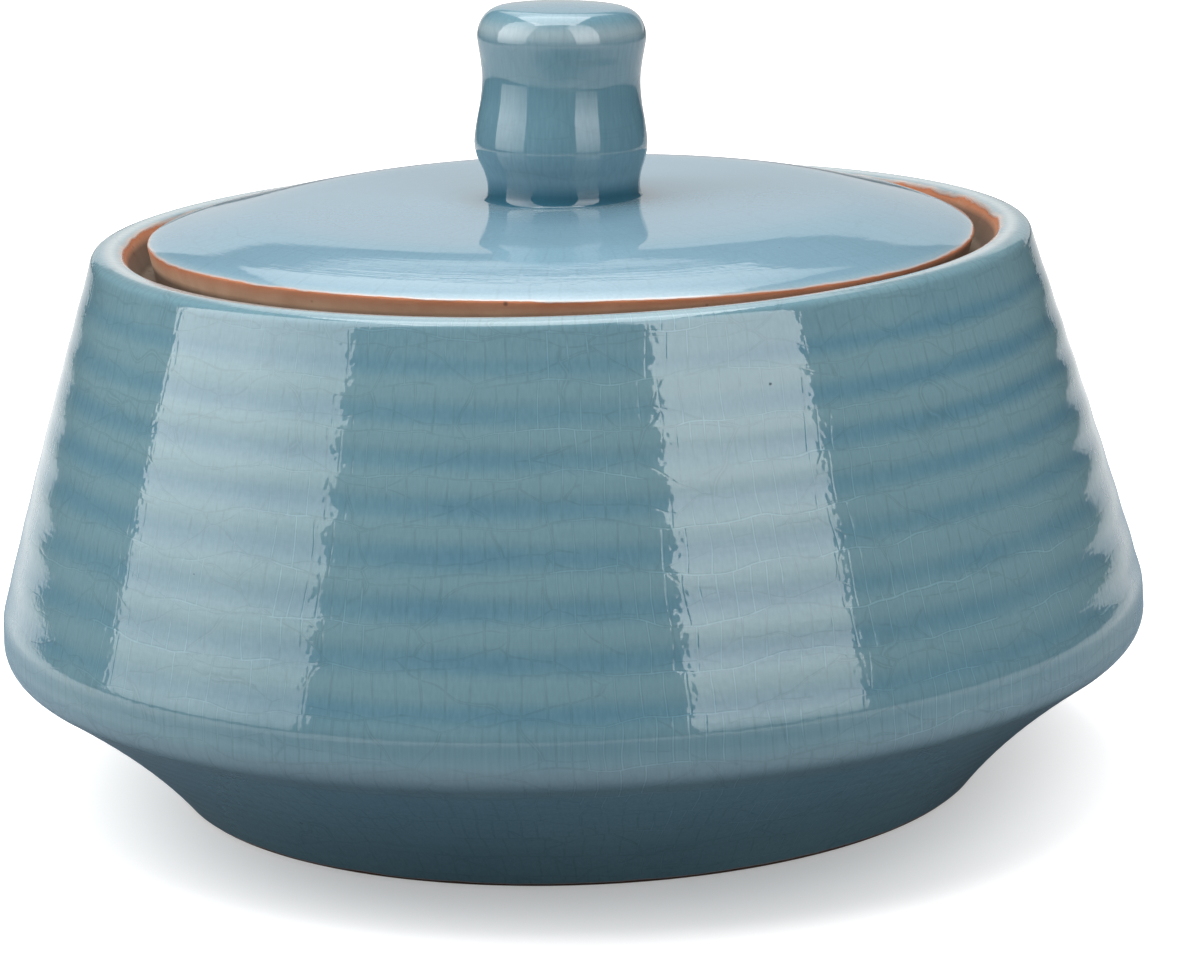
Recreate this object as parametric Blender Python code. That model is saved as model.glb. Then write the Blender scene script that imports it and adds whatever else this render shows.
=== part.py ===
"""A squat lidded jar in thrown stoneware: a wide ribbed body with a sharp belly, a drop-in lid and a tall knob.

The jar stands on its foot ring at z = 0, around the Z axis. Its mouth has a gallery, a tapered collar with a flat
ledge below it. The lid drops into that gallery and lifts straight up out of it. The knob is formed by itself and
luted to the lid. All sizes are in metres.
"""

import math

import bmesh
import bpy

# Foot, the turned ring that the jar stands on
FOOT_RADIUS = 0.0525
FOOT_RING_WIDTH = 0.0055
FOOT_EDGE_ROUND = 0.0007
FOOT_RECESS_DEPTH = 0.0020

# Body, as the outline of its outer wall
BELLY_RADIUS = 0.0750
BELLY_HEIGHT = 0.0217
BELLY_ROUND = 0.0043
UNDERBELLY_HOLLOW = 0.0009
SHOULDER_BULGE = 0.0004
RIM_HEIGHT = 0.0717
RIM_WIDTH = 0.0033
RIM_ROUND = 0.0034

# Throwing rings, the shallow grooves that fingers leave around the outer wall
RING_COUNT = 8
RING_PITCH = 0.0058
RING_DEPTH = 0.0002
TOP_RING_DROP = 0.0054

# Clay of the body
WALL = 0.0046
FLOOR_THICKNESS = 0.0040
INNER_FLOOR_ROUND = 0.0060
INNER_BELLY_ROUND = 0.0060

# Mouth, with the gallery that holds the lid
MOUTH_RADIUS = 0.0569
MOUTH_EDGE_ROUND = 0.0008
LEDGE_DEPTH = 0.0046
LEDGE_WIDTH = 0.0054
LEDGE_THICKNESS = 0.0042
LEDGE_EDGE_ROUND = 0.0010
LEDGE_UNDERCUT = 0.0050
GALLERY_TAPER = 0.0025

# Lid
LID_PLAY_AT_RIM = 0.0033
LID_PLAY_AT_LEDGE = 0.0020
LID_EDGE_THICKNESS = 0.0042
LID_EDGE_ROUND = 0.0009
LID_FOOT_ROUND = 0.0005
LID_SEAT_WIDTH = 0.0055
LID_DOME_RISE = 0.0058
LID_DOME_POWER = 3.4
LID_DIP = 0.0006
LID_DIP_WIDTH = 0.0180
LID_THICKNESS = 0.0065

# Knob, as radii with the rise from each to the next, starting at its base
KNOB_NECK_RADIUS = 0.0096
KNOB_NECK_RISE = 0.0010
KNOB_BULGE_RADIUS = 0.0111
KNOB_BULGE_RISE = 0.0053
KNOB_WAIST_RADIUS = 0.01005
KNOB_WAIST_RISE = 0.0075
KNOB_CAP_RADIUS = 0.0107
KNOB_CAP_RISE = 0.0062
KNOB_TOP_RISE = 0.0034
KNOB_TOP_ROUND = 0.0028
KNOB_TOP_CROWN = 0.0005
KNOB_SEAT_MARGIN = 0.0015

# The hair of space between two pieces that rest on each other
CONTACT_GAP = 0.0003

# How finely the round shapes are cut
JAR_SEGMENTS = 64
LID_SEGMENTS = 64
KNOB_SEGMENTS = 40
UNDERBELLY_STEPS = 5
DOME_STEPS = 8
HOLLOW_STEPS = 4
KNOB_STEPS = 4
ARC_STEP = math.radians(22.5)
SHARP_ANGLE = math.radians(35)


def rounded(corners):
    """The outline through (radius, height, rounding) corners, each corner cut by a tangent arc of its rounding.

    Where two arcs share a side, each keeps to its own half of it.
    """
    points = []
    for index, (r, z, rounding) in enumerate(corners):
        if rounding == 0:
            points.append((r, z))
            continue
        sides = (corners[index - 1], corners[index + 1])
        room = min(math.dist((r, z), side[:2]) * (0.49 if side[2] else 0.98) for side in sides)
        towards = [math.atan2(side[1] - z, side[0] - r) for side in sides]
        opening = (towards[1] - towards[0] + math.pi) % (2 * math.pi) - math.pi
        half = abs(opening) / 2
        reach = min(rounding / math.tan(half), room)
        radius = reach * math.tan(half)
        middle = towards[0] + opening / 2
        centre_r = r + math.cos(middle) * math.hypot(reach, radius)
        centre_z = z + math.sin(middle) * math.hypot(reach, radius)
        start_r = r + math.cos(towards[0]) * reach
        start_z = z + math.sin(towards[0]) * reach
        start = math.atan2(start_z - centre_z, start_r - centre_r)
        turn = math.copysign(math.pi - 2 * half, -opening)
        steps = max(2, math.ceil(abs(turn) / ARC_STEP))
        for step in range(steps + 1):
            angle = start + turn * step / steps
            points.append((centre_r + radius * math.cos(angle), centre_z + radius * math.sin(angle)))
    return points


def shoulder():
    """The outer corner of the rim before it is rounded, where the line of the upper wall starts."""
    return MOUTH_RADIUS + RIM_WIDTH, RIM_HEIGHT


def belly_tangent(point, side):
    """Angle on the belly's round where a line from the point touches it: side is 1 from above, -1 from below."""
    away_r = point[0] - (BELLY_RADIUS - BELLY_ROUND)
    away_z = point[1] - BELLY_HEIGHT
    return math.atan2(away_z, away_r) - side * math.acos(BELLY_ROUND / math.hypot(away_r, away_z))


def upper_lean():
    """How far the upper wall leans in from upright, which is also the angle where it leaves the belly's round."""
    return belly_tangent(shoulder(), 1)


def lower_lean():
    """How far the lower wall leans in from upright on its way down to the foot."""
    return -belly_tangent((FOOT_RADIUS, 0.0), -1)


def belly_point(angle, radius):
    """A point at an angle and a radius from the centre of the belly's round."""
    centre_r = BELLY_RADIUS - BELLY_ROUND
    return centre_r + radius * math.cos(angle), BELLY_HEIGHT + radius * math.sin(angle)


def wall_point(start, end, share, out):
    """A point at a share of the way down a wall from start to end, moved out square to the wall."""
    length = math.dist(start, end)
    r = start[0] + (end[0] - start[0]) * share + out * (start[1] - end[1]) / length
    z = start[1] + (end[1] - start[1]) * share + out * (end[0] - start[0]) / length
    return r, z


def bowed(bow, share):
    """How far a wall stands out of its straight line, all of the bow in the middle and nothing at the ends."""
    return 4 * bow * share * (1 - share)


def upper_wall(start, end):
    """The bowed wall from the rim down to the belly, with a point in each throwing groove and on each rib."""
    length = math.dist(start, end)
    first_groove = TOP_RING_DROP - math.dist(shoulder(), start)
    points = [start]
    for half_pitch in range(-1, 2 * RING_COUNT):
        share = (first_groove + half_pitch * RING_PITCH / 2) / length
        if 0.01 < share < 0.99:
            groove = RING_DEPTH if half_pitch % 2 == 0 else 0.0
            points.append(wall_point(start, end, share, bowed(SHOULDER_BULGE, share) - groove))
    points.append(end)
    return points


def belly():
    """The belly's round, from the upper wall down to the lower one. It turns a little further, into the hollow."""
    upper = upper_lean()
    lower = -lower_lean() - 4 * UNDERBELLY_HOLLOW / BELLY_HEIGHT * math.cos(lower_lean())
    steps = math.ceil((upper - lower) / ARC_STEP)
    return [belly_point(upper + (lower - upper) * step / steps, BELLY_ROUND) for step in range(steps + 1)]


def lower_wall(start):
    """The slightly hollow wall from the belly down to the foot, without its two ends."""
    end = (FOOT_RADIUS, 0.0)
    shares = [step / UNDERBELLY_STEPS for step in range(1, UNDERBELLY_STEPS)]
    return [wall_point(start, end, share, bowed(-UNDERBELLY_HOLLOW, share)) for share in shares]


def foot(above):
    """The foot from the last point above it: the flat ring that meets the table, and the recess turned inside it."""
    ring_inner = FOOT_RADIUS - FOOT_RING_WIDTH
    corners = [
        (*above, 0),
        (FOOT_RADIUS, 0.0, FOOT_EDGE_ROUND),
        (ring_inner, 0.0, 0),
        (ring_inner - FOOT_RECESS_DEPTH, FOOT_RECESS_DEPTH, 0),
        (0.0, FOOT_RECESS_DEPTH, 0),
    ]
    return rounded(corners)[1:]


def inside():
    """The inner outline from the middle of the floor up through the throat, the ledge and the gallery, over the rim.

    The wall follows the straight lines of the outer one at its own thickness.
    """
    floor_z = FOOT_RECESS_DEPTH + FLOOR_THICKNESS
    floor_r = FOOT_RADIUS + floor_z * math.tan(lower_lean()) - WALL / math.cos(lower_lean())
    spread = (upper_lean() + lower_lean()) / 2
    deepest = belly_point((upper_lean() - lower_lean()) / 2, (BELLY_ROUND - WALL) / math.cos(spread))
    ledge_z = RIM_HEIGHT - LEDGE_DEPTH
    ledge_under_z = ledge_z - LEDGE_THICKNESS
    wall_end_z = ledge_under_z - LEDGE_UNDERCUT
    wall_end_r = shoulder()[0] + (RIM_HEIGHT - wall_end_z) * math.tan(upper_lean()) - WALL / math.cos(upper_lean())
    gallery_foot_r = MOUTH_RADIUS - GALLERY_TAPER
    throat_r = gallery_foot_r - LEDGE_WIDTH
    corners = [
        (0.0, floor_z, 0),
        (floor_r, floor_z, INNER_FLOOR_ROUND),
        (*deepest, INNER_BELLY_ROUND),
        (wall_end_r, wall_end_z, LEDGE_UNDERCUT),
        (throat_r, ledge_under_z, LEDGE_EDGE_ROUND),
        (throat_r, ledge_z, LEDGE_EDGE_ROUND),
        (gallery_foot_r, ledge_z, 0),
        (MOUTH_RADIUS, RIM_HEIGHT, MOUTH_EDGE_ROUND),
        (*shoulder(), RIM_ROUND),
        (*belly_point(upper_lean(), BELLY_ROUND), 0),
    ]
    return rounded(corners)[:-1]


def turned(name, outline, segments, material):
    """A solid turned about the Z axis from an outline that starts and ends on that axis."""
    bm = bmesh.new()
    verts = [bm.verts.new((r, 0.0, z)) for r, z in outline]
    edges = [bm.edges.new(pair) for pair in zip(verts, verts[1:])]
    bmesh.ops.spin(
        bm,
        geom=verts + edges,
        cent=(0, 0, 0),
        axis=(0, 0, 1),
        angle=2 * math.pi,
        steps=segments,
        use_merge=True,
    )
    bmesh.ops.remove_doubles(bm, verts=bm.verts, dist=1e-6)
    bmesh.ops.recalc_face_normals(bm, faces=bm.faces)
    mesh = bpy.data.meshes.new(name)
    bm.to_mesh(mesh)
    bm.free()
    mesh.shade_smooth()
    mesh.set_sharp_from_angle(angle=SHARP_ANGLE)
    mesh.materials.append(material)
    body = bpy.data.objects.new(name, mesh)
    bpy.context.scene.collection.objects.link(body)
    return body


def finish(name, colour, roughness):
    """A glossy or matt material of one colour, given as sRGB values from 0 to 1."""
    material = bpy.data.materials.new(name)
    material.use_nodes = True
    shader = material.node_tree.nodes["Principled BSDF"]
    linear = [part / 12.92 if part <= 0.04045 else ((part + 0.055) / 1.055) ** 2.4 for part in colour]
    shader.inputs["Base Color"].default_value = (*linear, 1.0)
    shader.inputs["Roughness"].default_value = roughness
    shader.inputs["Metallic"].default_value = 0.0
    return material


def jar():
    """The body of the jar, one closed wall from its inner floor over the rim and down to its foot."""
    inner = inside()
    round_part = belly()
    upper = upper_wall(inner[-1], round_part[0])
    lower = lower_wall(round_part[-1])
    outline = inner + upper[1:] + round_part[1:] + lower + foot(lower[-1])
    return turned("jar_body", outline, JAR_SEGMENTS, finish("jar_glaze", (0.39, 0.53, 0.57), 0.10))


def lid_radius():
    return MOUTH_RADIUS - LID_PLAY_AT_RIM


def knob_seat_radius():
    return KNOB_NECK_RADIUS + KNOB_SEAT_MARGIN


def lid_top(radius):
    """Height of the lid's top over its underside: a broad dome with a shallow dip and a flat seat for the knob."""
    dome = LID_DOME_RISE * (1 - (radius / lid_radius()) ** LID_DOME_POWER)
    beyond_seat = max(0.0, radius - knob_seat_radius()) / LID_DIP_WIDTH
    dip = LID_DIP * (1 - beyond_seat**2) ** 2 if beyond_seat < 1 else 0.0
    return LID_EDGE_THICKNESS + dome - dip


def lid():
    """A domed plate whose flat underside ring rests on the ledge, with a shallow hollow inside that ring."""
    dome_end = lid_radius() - LID_EDGE_ROUND
    dome = [(0.0, lid_top(knob_seat_radius()))]
    for step in range(DOME_STEPS + 1):
        r = knob_seat_radius() + (dome_end - knob_seat_radius()) * step / DOME_STEPS
        dome.append((r, lid_top(r)))
    foot_radius = MOUTH_RADIUS - GALLERY_TAPER - LID_PLAY_AT_LEDGE
    seat_inner = foot_radius - LID_SEAT_WIDTH
    side = rounded(
        [
            (*dome[-1], 0),
            (lid_radius(), LID_EDGE_THICKNESS, LID_EDGE_ROUND),
            (foot_radius, 0.0, LID_FOOT_ROUND),
            (seat_inner, 0.0, 0),
        ]
    )
    hollow_rise = lid_top(0.0) - LID_THICKNESS
    hollow = []
    for step in range(1, HOLLOW_STEPS + 1):
        share = math.cos(math.pi / 2 * step / HOLLOW_STEPS)
        hollow.append((seat_inner * share, hollow_rise * (1 - share**4)))
    hollow[-1] = (0.0, hollow_rise)
    material = finish("lid_glaze", (0.47, 0.60, 0.65), 0.10)
    plate = turned("lid_plate", dome[:-1] + side + hollow, LID_SEGMENTS, material)
    plate.location.z = RIM_HEIGHT - LEDGE_DEPTH + CONTACT_GAP
    return plate


def knob(plate):
    """A solid knob with a neck, a bulge, a waist and a rounded cap, which stands on the seat in the lid's middle."""
    levels = [(KNOB_NECK_RADIUS, KNOB_NECK_RISE)]
    for radius, rise in (
        (KNOB_BULGE_RADIUS, KNOB_BULGE_RISE),
        (KNOB_WAIST_RADIUS, KNOB_WAIST_RISE),
        (KNOB_CAP_RADIUS, KNOB_CAP_RISE),
    ):
        levels.append((radius, levels[-1][1] + rise))
    side = []
    for (low_r, low_z), (high_r, high_z) in zip(levels, levels[1:]):
        for step in range(KNOB_STEPS):
            share = step / KNOB_STEPS
            eased = 0.5 - 0.5 * math.cos(math.pi * share)
            side.append((low_r + (high_r - low_r) * eased, low_z + (high_z - low_z) * share))
    side.append(levels[-1])
    top_z = levels[-1][1] + KNOB_TOP_RISE
    cap = rounded(
        [
            (*levels[-1], 0),
            (KNOB_CAP_RADIUS, top_z - KNOB_TOP_CROWN, KNOB_TOP_ROUND),
            (0.0, top_z, 0),
        ]
    )
    outline = [(0.0, 0.0), (KNOB_NECK_RADIUS, 0.0)] + side + cap[1:]
    body = turned("lid_knob", outline, KNOB_SEGMENTS, finish("knob_glaze", (0.36, 0.51, 0.56), 0.10))
    body.parent = plate
    body.location.z = lid_top(0.0) + CONTACT_GAP
    return body


for old in list(bpy.data.objects):
    bpy.data.objects.remove(old)
jar()
knob(lid())
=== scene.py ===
# A squat lidded jar in blue crackle glaze over brown stoneware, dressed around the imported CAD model.
# The dictionaries give millimetres and degrees, the meshes are in metres.
import math

import bpy
import numpy as np
from mathutils import Matrix, Vector


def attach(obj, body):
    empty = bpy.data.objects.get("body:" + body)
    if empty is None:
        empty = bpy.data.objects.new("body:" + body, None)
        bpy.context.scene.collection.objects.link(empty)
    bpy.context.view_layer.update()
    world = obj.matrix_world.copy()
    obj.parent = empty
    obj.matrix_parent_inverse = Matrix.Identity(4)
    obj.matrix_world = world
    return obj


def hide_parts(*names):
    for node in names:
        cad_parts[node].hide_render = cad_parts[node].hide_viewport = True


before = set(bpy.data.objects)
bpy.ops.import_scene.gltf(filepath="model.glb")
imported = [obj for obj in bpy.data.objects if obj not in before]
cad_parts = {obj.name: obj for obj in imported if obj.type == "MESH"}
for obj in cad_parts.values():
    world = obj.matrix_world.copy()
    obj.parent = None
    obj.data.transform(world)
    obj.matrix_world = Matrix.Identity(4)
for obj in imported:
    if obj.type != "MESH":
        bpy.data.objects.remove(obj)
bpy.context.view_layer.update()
mm = 0.001
print("frame loaded")


# Colours and nodes
def linear(hexColour):
    # From sRGB to linear light: a straight line for the darkest tones, a power of 2.4 for the rest
    tones = np.array([int(hexColour[i:i + 2], 16) for i in (1, 3, 5)]) / 255
    bright = ((tones + 0.055) / 1.055) ** 2.4
    return (*np.where(tones <= 0.04045, tones / 12.92, bright).tolist(), 1.0)


def addNode(tree, kind, inputs=None, **settings):
    # Adds one node. Its inputs are values, or the nodes and sockets they are linked from.
    node = tree.nodes.new("ShaderNode" + kind)
    for name, value in settings.items():
        setattr(node, name, value)
    for name, value in (inputs or {}).items():
        if isinstance(value, bpy.types.Node):
            value = [socket for socket in value.outputs if socket.enabled][0]
        if isinstance(value, bpy.types.NodeSocket):
            tree.links.new(value, node.inputs[name])
        else:
            node.inputs[name].default_value = value
    return node


# Shapes turned on the wheel
def roundedPath(corners):
    # A path of straight sides in r and z. Each corner with a rounding becomes the arc of that radius
    # that touches both sides: it starts radius * tan(turn / 2) before the corner.
    corners = np.array(corners, float)
    path = [corners[0, [0, 1, 3]]]
    for before, here, after in zip(corners, corners[1:], corners[2:]):
        if here[2] == 0:
            path.append(here[[0, 1, 3]])
            continue
        arriving = (here - before)[:2] / np.linalg.norm((here - before)[:2])
        leaving = (after - here)[:2] / np.linalg.norm((after - here)[:2])
        turn = math.atan2(arriving[0] * leaving[1] - arriving[1] * leaving[0], arriving @ leaving)
        side = np.array((-arriving[1], arriving[0])) * math.copysign(1, turn)
        centre = here[:2] - arriving * here[2] * math.tan(abs(turn) / 2) + side * here[2]
        angle = np.linspace(0, turn, 3 + int(abs(math.degrees(turn)) / 5))
        spoke = -side * here[2]
        arcR = centre[0] + np.cos(angle) * spoke[0] - np.sin(angle) * spoke[1]
        arcZ = centre[1] + np.sin(angle) * spoke[0] + np.cos(angle) * spoke[1]
        spacing = np.where(angle == turn, here[3], min(before[3], here[3]))
        path.extend(np.stack((arcR, arcZ, spacing), 1))
    path.append(corners[-1, [0, 1, 3]])
    return np.array(path)


def smoothPath(knots, steps=8):
    # A cubic between each two knots, whose slope at a knot is half the step from the knot before it
    # to the knot after it
    knots = np.array(knots, float)
    slope = np.gradient(knots, axis=0)
    t = np.linspace(0, 1, steps, endpoint=False)[None, :, None]
    start, end, leave, arrive = (a[:, None, :] for a in (knots[:-1], knots[1:], slope[:-1], slope[1:]))
    curve = ((2 * t**3 - 3 * t**2 + 1) * start + (t**3 - 2 * t**2 + t) * leave
             + (3 * t**2 - 2 * t**3) * end + (t**3 - t**2) * arrive)
    return np.vstack((curve.reshape(-1, knots.shape[1]), knots[-1:]))


def rowsAlong(path):
    # Rows set along the path so that each gap has the path's own spacing: the rows are even steps of
    # the sum of length / spacing
    gap = np.linalg.norm(np.diff(path[:, :2], axis=0), axis=1)
    arc = np.concatenate(([0], np.cumsum(gap)))
    count = np.concatenate(([0], np.cumsum(gap / path[:-1, 2])))
    at = np.interp(np.linspace(0, count[-1], int(count[-1]) + 1), count, arc)
    return np.interp(at, arc, path[:, 0]), np.interp(at, arc, path[:, 1]), at


def arcOf(r, z, at, place):
    # How far along the path its row nearest to a place in r and z lies
    return at[np.argmin((r - place[0]) ** 2 + (z - place[1]) ** 2)]


def borderDistance(at, borders, softness):
    # Millimetres from the nearest edge of the glaze over that edge's softness, above 0 on glaze and
    # below 0 on bare clay. The path starts glazed and changes at each edge.
    away = np.abs(at[:, None] - np.array(borders)[None, :]) / np.array(softness)[None, :]
    crossed = (at[:, None] > np.array(borders)[None, :]).sum(1)
    return away.min(1) * np.where(crossed % 2 == 0, 1, -1)


def hump(at, centre, width):
    # A bell: 1 at the centre, and exp(-1) of that one width away
    return np.exp(-((at - centre) / width) ** 2)


def handWave(angle, seed, waves=5):
    # A closed wave of about -1 to 1: cosines of 1, 2, 3 and more turns, each divided by its turns
    dice = np.random.default_rng(seed)
    turns = np.arange(1, waves + 1)[:, None]
    phase = dice.uniform(0, 2 * np.pi, (waves, 1))
    return (np.cos(turns * angle[None, :] + phase) / turns).sum(0) / 1.6


def turnedPiece(name, x, y, z, crackle, perRow):
    # Closes a grid of rows and columns into a skin: the first and last rows shrink to one point each.
    # crackle holds the map's columns round the piece and its rows along it; perRow holds attributes.
    rows, columns = x.shape
    ring = np.stack((x, y, z), 2)[1:-1].reshape(-1, 3)
    ends = [[x[0].mean(), y[0].mean(), z[0].mean()], [x[-1].mean(), y[-1].mean(), z[-1].mean()]]
    points = np.vstack((ring, ends)) * mm
    here = np.arange(rows - 3)[:, None] * columns + np.arange(columns)[None, :]
    along = np.arange(rows - 3)[:, None] * columns + (np.arange(columns)[None, :] + 1) % columns
    quads = np.stack((here, along, along + columns, here + columns), 2).reshape(-1, 4)
    low, high, last = len(ring), len(ring) + 1, (rows - 3) * columns
    turn = np.arange(columns)
    nextTurn = (turn + 1) % columns
    lowFan = np.stack((np.full(columns, low), nextTurn, turn), 1)
    highFan = np.stack((last + turn, last + nextTurn, np.full(columns, high)), 1)
    mesh = bpy.data.meshes.new(name)
    mesh.from_pydata(points.tolist(), [], quads.tolist() + lowFan.tolist() + highFan.tolist())

    u = turn / columns * crackle[0]
    v = crackle[1]
    step = crackle[0] / columns
    i = np.repeat(np.arange(1, rows - 2), columns)
    quadU = np.stack((np.tile(u, rows - 3), np.tile(u, rows - 3) + step), 1)[:, [0, 1, 1, 0]]
    quadV = np.stack((v[i], v[i], v[i + 1], v[i + 1]), 1)
    lowUv = np.stack((u + step / 2, u + step, u), 1), np.tile((v[0], v[1], v[1]), (columns, 1))
    highUv = np.stack((u, u + step, u + step / 2), 1), np.tile((v[-2], v[-2], v[-1]), (columns, 1))
    allU = np.concatenate([part.ravel() for part in (quadU, lowUv[0], highUv[0])])
    allV = np.concatenate([part.ravel() for part in (quadV, lowUv[1], highUv[1])])
    mesh.uv_layers.new(name="crackleMap").data.foreach_set("uv", np.stack((allU, allV), 1).ravel())
    for label, values in perRow.items():
        grid = np.broadcast_to(values if values.ndim == 2 else values[:, None], (rows, columns))
        flat = np.concatenate((grid[1:-1].ravel(), (grid[0].mean(), grid[-1].mean())))
        mesh.attributes.new(label, "FLOAT", "POINT").data.foreach_set("value", flat.astype(np.float32))
    mesh.shade_smooth()
    mesh.update()
    piece = bpy.data.objects.new(name, mesh)
    bpy.context.scene.collection.objects.link(piece)
    print(name, "has", sum(len(f.vertices) - 2 for f in mesh.polygons), "triangles")
    return piece


# The jar: foot, hollowed underbelly, sharp belly, ringed wall, rim, gallery with its ledge, inside
jar = {
    # Corners of the outline from the floor's underside round to the inside: r, z, rounding, and the row
    # spacing of the side that follows
    "outline": [
        (0, 2.0, 0, 7.0), (46.3, 2.0, 0.8, 0.8), (47.0, 0, 0.5, 1.1), (52.5, 0, 0.7, 0.55),
        (74.85, 19.95, 4.0, 0.45), (74.6, 24.9, 7.0, 0.47), (60.5, 71.0, 1.3, 0.3),
        (58.8, 71.5, 1.3, 0.3), (56.6, 71.2, 0.8, 0.4), (54.4, 67.1, 0.5, 0.9), (49.0, 67.1, 1.0, 0.6),
        (49.0, 62.9, 0.8, 1.2), (59.53, 57.9, 4.0, 2.0), (70.35, 21.8, 5.0, 2.0), (52.36, 6.0, 6.0, 4.0),
        (0, 6.0, 0, 4.0)],
    "columns": 340,
    # Places on the outline, in r and z, between which its sides are shaped
    "footTurn": (52.9, 0.6),
    "bellyTurn": (74.6, 23.0),
    "rimTurn": (61.3, 68.0),
    "throat": (49.0, 62.9),
    "shoulderBow": 0.24,
    "underbellyHollow": 1.5,
    # Heights of the thrown grooves
    "grooves": (21.5, 27.5, 33.5, 39.2, 45.1, 50.6, 55.9, 60.9, 66.5, 72.0),
    "grooveReach": 3.0,
    "grooveUneven": 0.45,
    "ringDepth": 0.075,
    "pressEven": 0.9,  # the hand pressed this much all round
    "pressRight": 0.25,  # and this much more at 345 degrees
    "fineRingPitch": 2.5,  # along the underbelly
    "fineRingDepth": 0.035,
    "insideRingPitch": 4.2,
    "insideRingDepth": 0.16,
    "grooveWander": 0.35,
    "outOfRound": 0.12,
    "rimDrop": 0.28,  # the rim is this much lower in front and higher behind
    "rimSides": 0.3,  # and this much higher at the left and the right
    "glazeEdges": ((46.55, 1.1), (52.7, 0.4), (56.4, 70.85), (49.0, 65.7)),
    "edgeSoftness": (1.0, 1.0, 2.6, 1.0),
    "thinAt": ((72.6, 17.6), 2.0),  # where the glaze runs thin, and over how many mm
    "paleLips": (((74.6, 20.0), 1.8, 0.3), ((58.0, 71.5), 1.0, 1.0)),  # place, width and share
    "crackleColumns": 180,
    "crackleRow": 2.4,
    "crackle": 1.0,
}


def ringWave(height, grooves):
    # Minus one in each groove and one on each ridge: the cosine of one turn from groove to groove,
    # eased out towards the belly and the rim
    phase = np.interp(height, grooves, np.arange(len(grooves)))
    below = np.clip((height - grooves[1] + 3.6) / 3.6, 0, 1)
    above = np.clip((grooves[-2] + 2.6 - height) / 2.6, 0, 1)
    return -np.cos(2 * np.pi * phase) * below**2 * above**2


def makeJar():
    r, z, at = rowsAlong(roundedPath(jar["outline"]))
    angle = np.arange(jar["columns"]) / jar["columns"] * 2 * np.pi
    footArc, bellyArc, rimArc, throatArc = (
        arcOf(r, z, at, jar[place]) for place in ("footTurn", "bellyTurn", "rimTurn", "throat"))
    lower = np.clip((at - footArc) / (bellyArc - footArc - 5), 0, 1)
    upper = np.clip((at - bellyArc) / (rimArc - bellyArc), 0, 1)
    # The wall bows out, and the underbelly in, by a parabola that is 0 at both ends of the side
    r = r + jar["shoulderBow"] * 4 * upper * (1 - upper) - jar["underbellyHollow"] * 4 * lower * (1 - lower)
    wander = jar["grooveWander"] * handWave(angle, 3)
    onWall = (at > bellyArc) & (at < rimArc + 2)
    relief = ringWave(z[:, None] + wander[None, :], jar["grooves"]) * onWall[:, None]
    relief = relief * (jar["pressEven"] + jar["pressRight"] * np.cos(angle - math.radians(345)))[None, :]
    # Each ring is pressed a little deeper or shallower as it comes round
    press = sum(hump(z, height, jar["grooveReach"])[:, None] * handWave(angle, 30 + k)[None, :]
                for k, height in enumerate(jar["grooves"]))
    depth = jar["ringDepth"] / 2 * (1 + jar["grooveUneven"] * press)
    fine = np.cos(2 * np.pi * (at - footArc) / jar["fineRingPitch"]) * np.sin(np.pi * lower) ** 0.5
    inside = np.cos(2 * np.pi * at / jar["insideRingPitch"]) * (at > throatArc + 8) * np.clip(r / 30, 0, 1)
    push = depth * relief + (jar["fineRingDepth"] / 2 * fine)[:, None]
    radius = r[:, None] + push + (jar["insideRingDepth"] / 2 * inside)[:, None]
    # The wall is a little out of round from 30 mm up, and less and less below that
    outOfRound = jar["outOfRound"] / 70 * handWave(angle, 8)[None, :] * np.clip(z / 30, 0, 1)[:, None]
    radius = radius * (1 + outOfRound)
    # The rim rises towards the back and at its sides, fading down the wall as the fourth power of height
    uneven = jar["rimDrop"] * np.sin(angle) + jar["rimSides"] * np.cos(angle) ** 2
    height = z[:, None] + (z[:, None] / 71.7) ** 4 * uneven[None, :]
    edges = [arcOf(r, z, at, place) for place in jar["glazeEdges"]]
    thinPlace, thinWidth = jar["thinAt"]
    thin = hump(at, arcOf(r, z, at, thinPlace), thinWidth)
    lip = sum(share * hump(at, arcOf(r, z, at, place), width) for place, width, share in jar["paleLips"])
    return turnedPiece(
        "glazedJar", radius * np.cos(angle), radius * np.sin(angle), height,
        (jar["crackleColumns"], at / jar["crackleRow"]),
        {"ringRelief": relief, "glazeEdge": borderDistance(at, edges, jar["edgeSoftness"]),
         "thinGlazeAndContactShade": thin, "lipGlaze": lip, "milkyGlaze": at * 0,
         "crackleShare": at * 0 + jar["crackle"]})


# The lid: a domed plate, thicker at the back left, with a bare clay side and a bare seat under it
lid = {
    "radius": 53.4,
    "edgeHeight": 71.99,
    "seatHeight": 67.4,
    "footRadius": 52.4,
    "seatInner": 46.9,
    "hollowRise": 2.9,
    "shoulder": 39.3,  # radius where the top bends down
    "shoulderSlope": 0.215,
    "shoulderWidth": 1.7,
    "rollStart": 48.5,  # from here the top rolls over towards its edge
    "rollSlope": 0.22,
    "domeRise": 0.7,
    "thinAndShadedRing": (11.8, 1.5, 0.9),  # radius, width and share of the greyer ring round the knob: thin glaze and painted contact shade
    "paleLip": ((53.2, 72.04), 0.8, 0.3),
    "columns": 300,
    "edgeRise": (-0.793, 0.5, -0.36, 0.32),  # of the cosine and sine of one turn and of two turns
    "edgeWave": 0.07,
    "glazeEdges": ((45.9, 67.65), (53.38, 71.94)),
    "edgeSoftness": (1.0, 1.3),
    "crackleColumns": 96,
    "crackleRow": 2.4,
    "crackle": 0.25,
}


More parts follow.
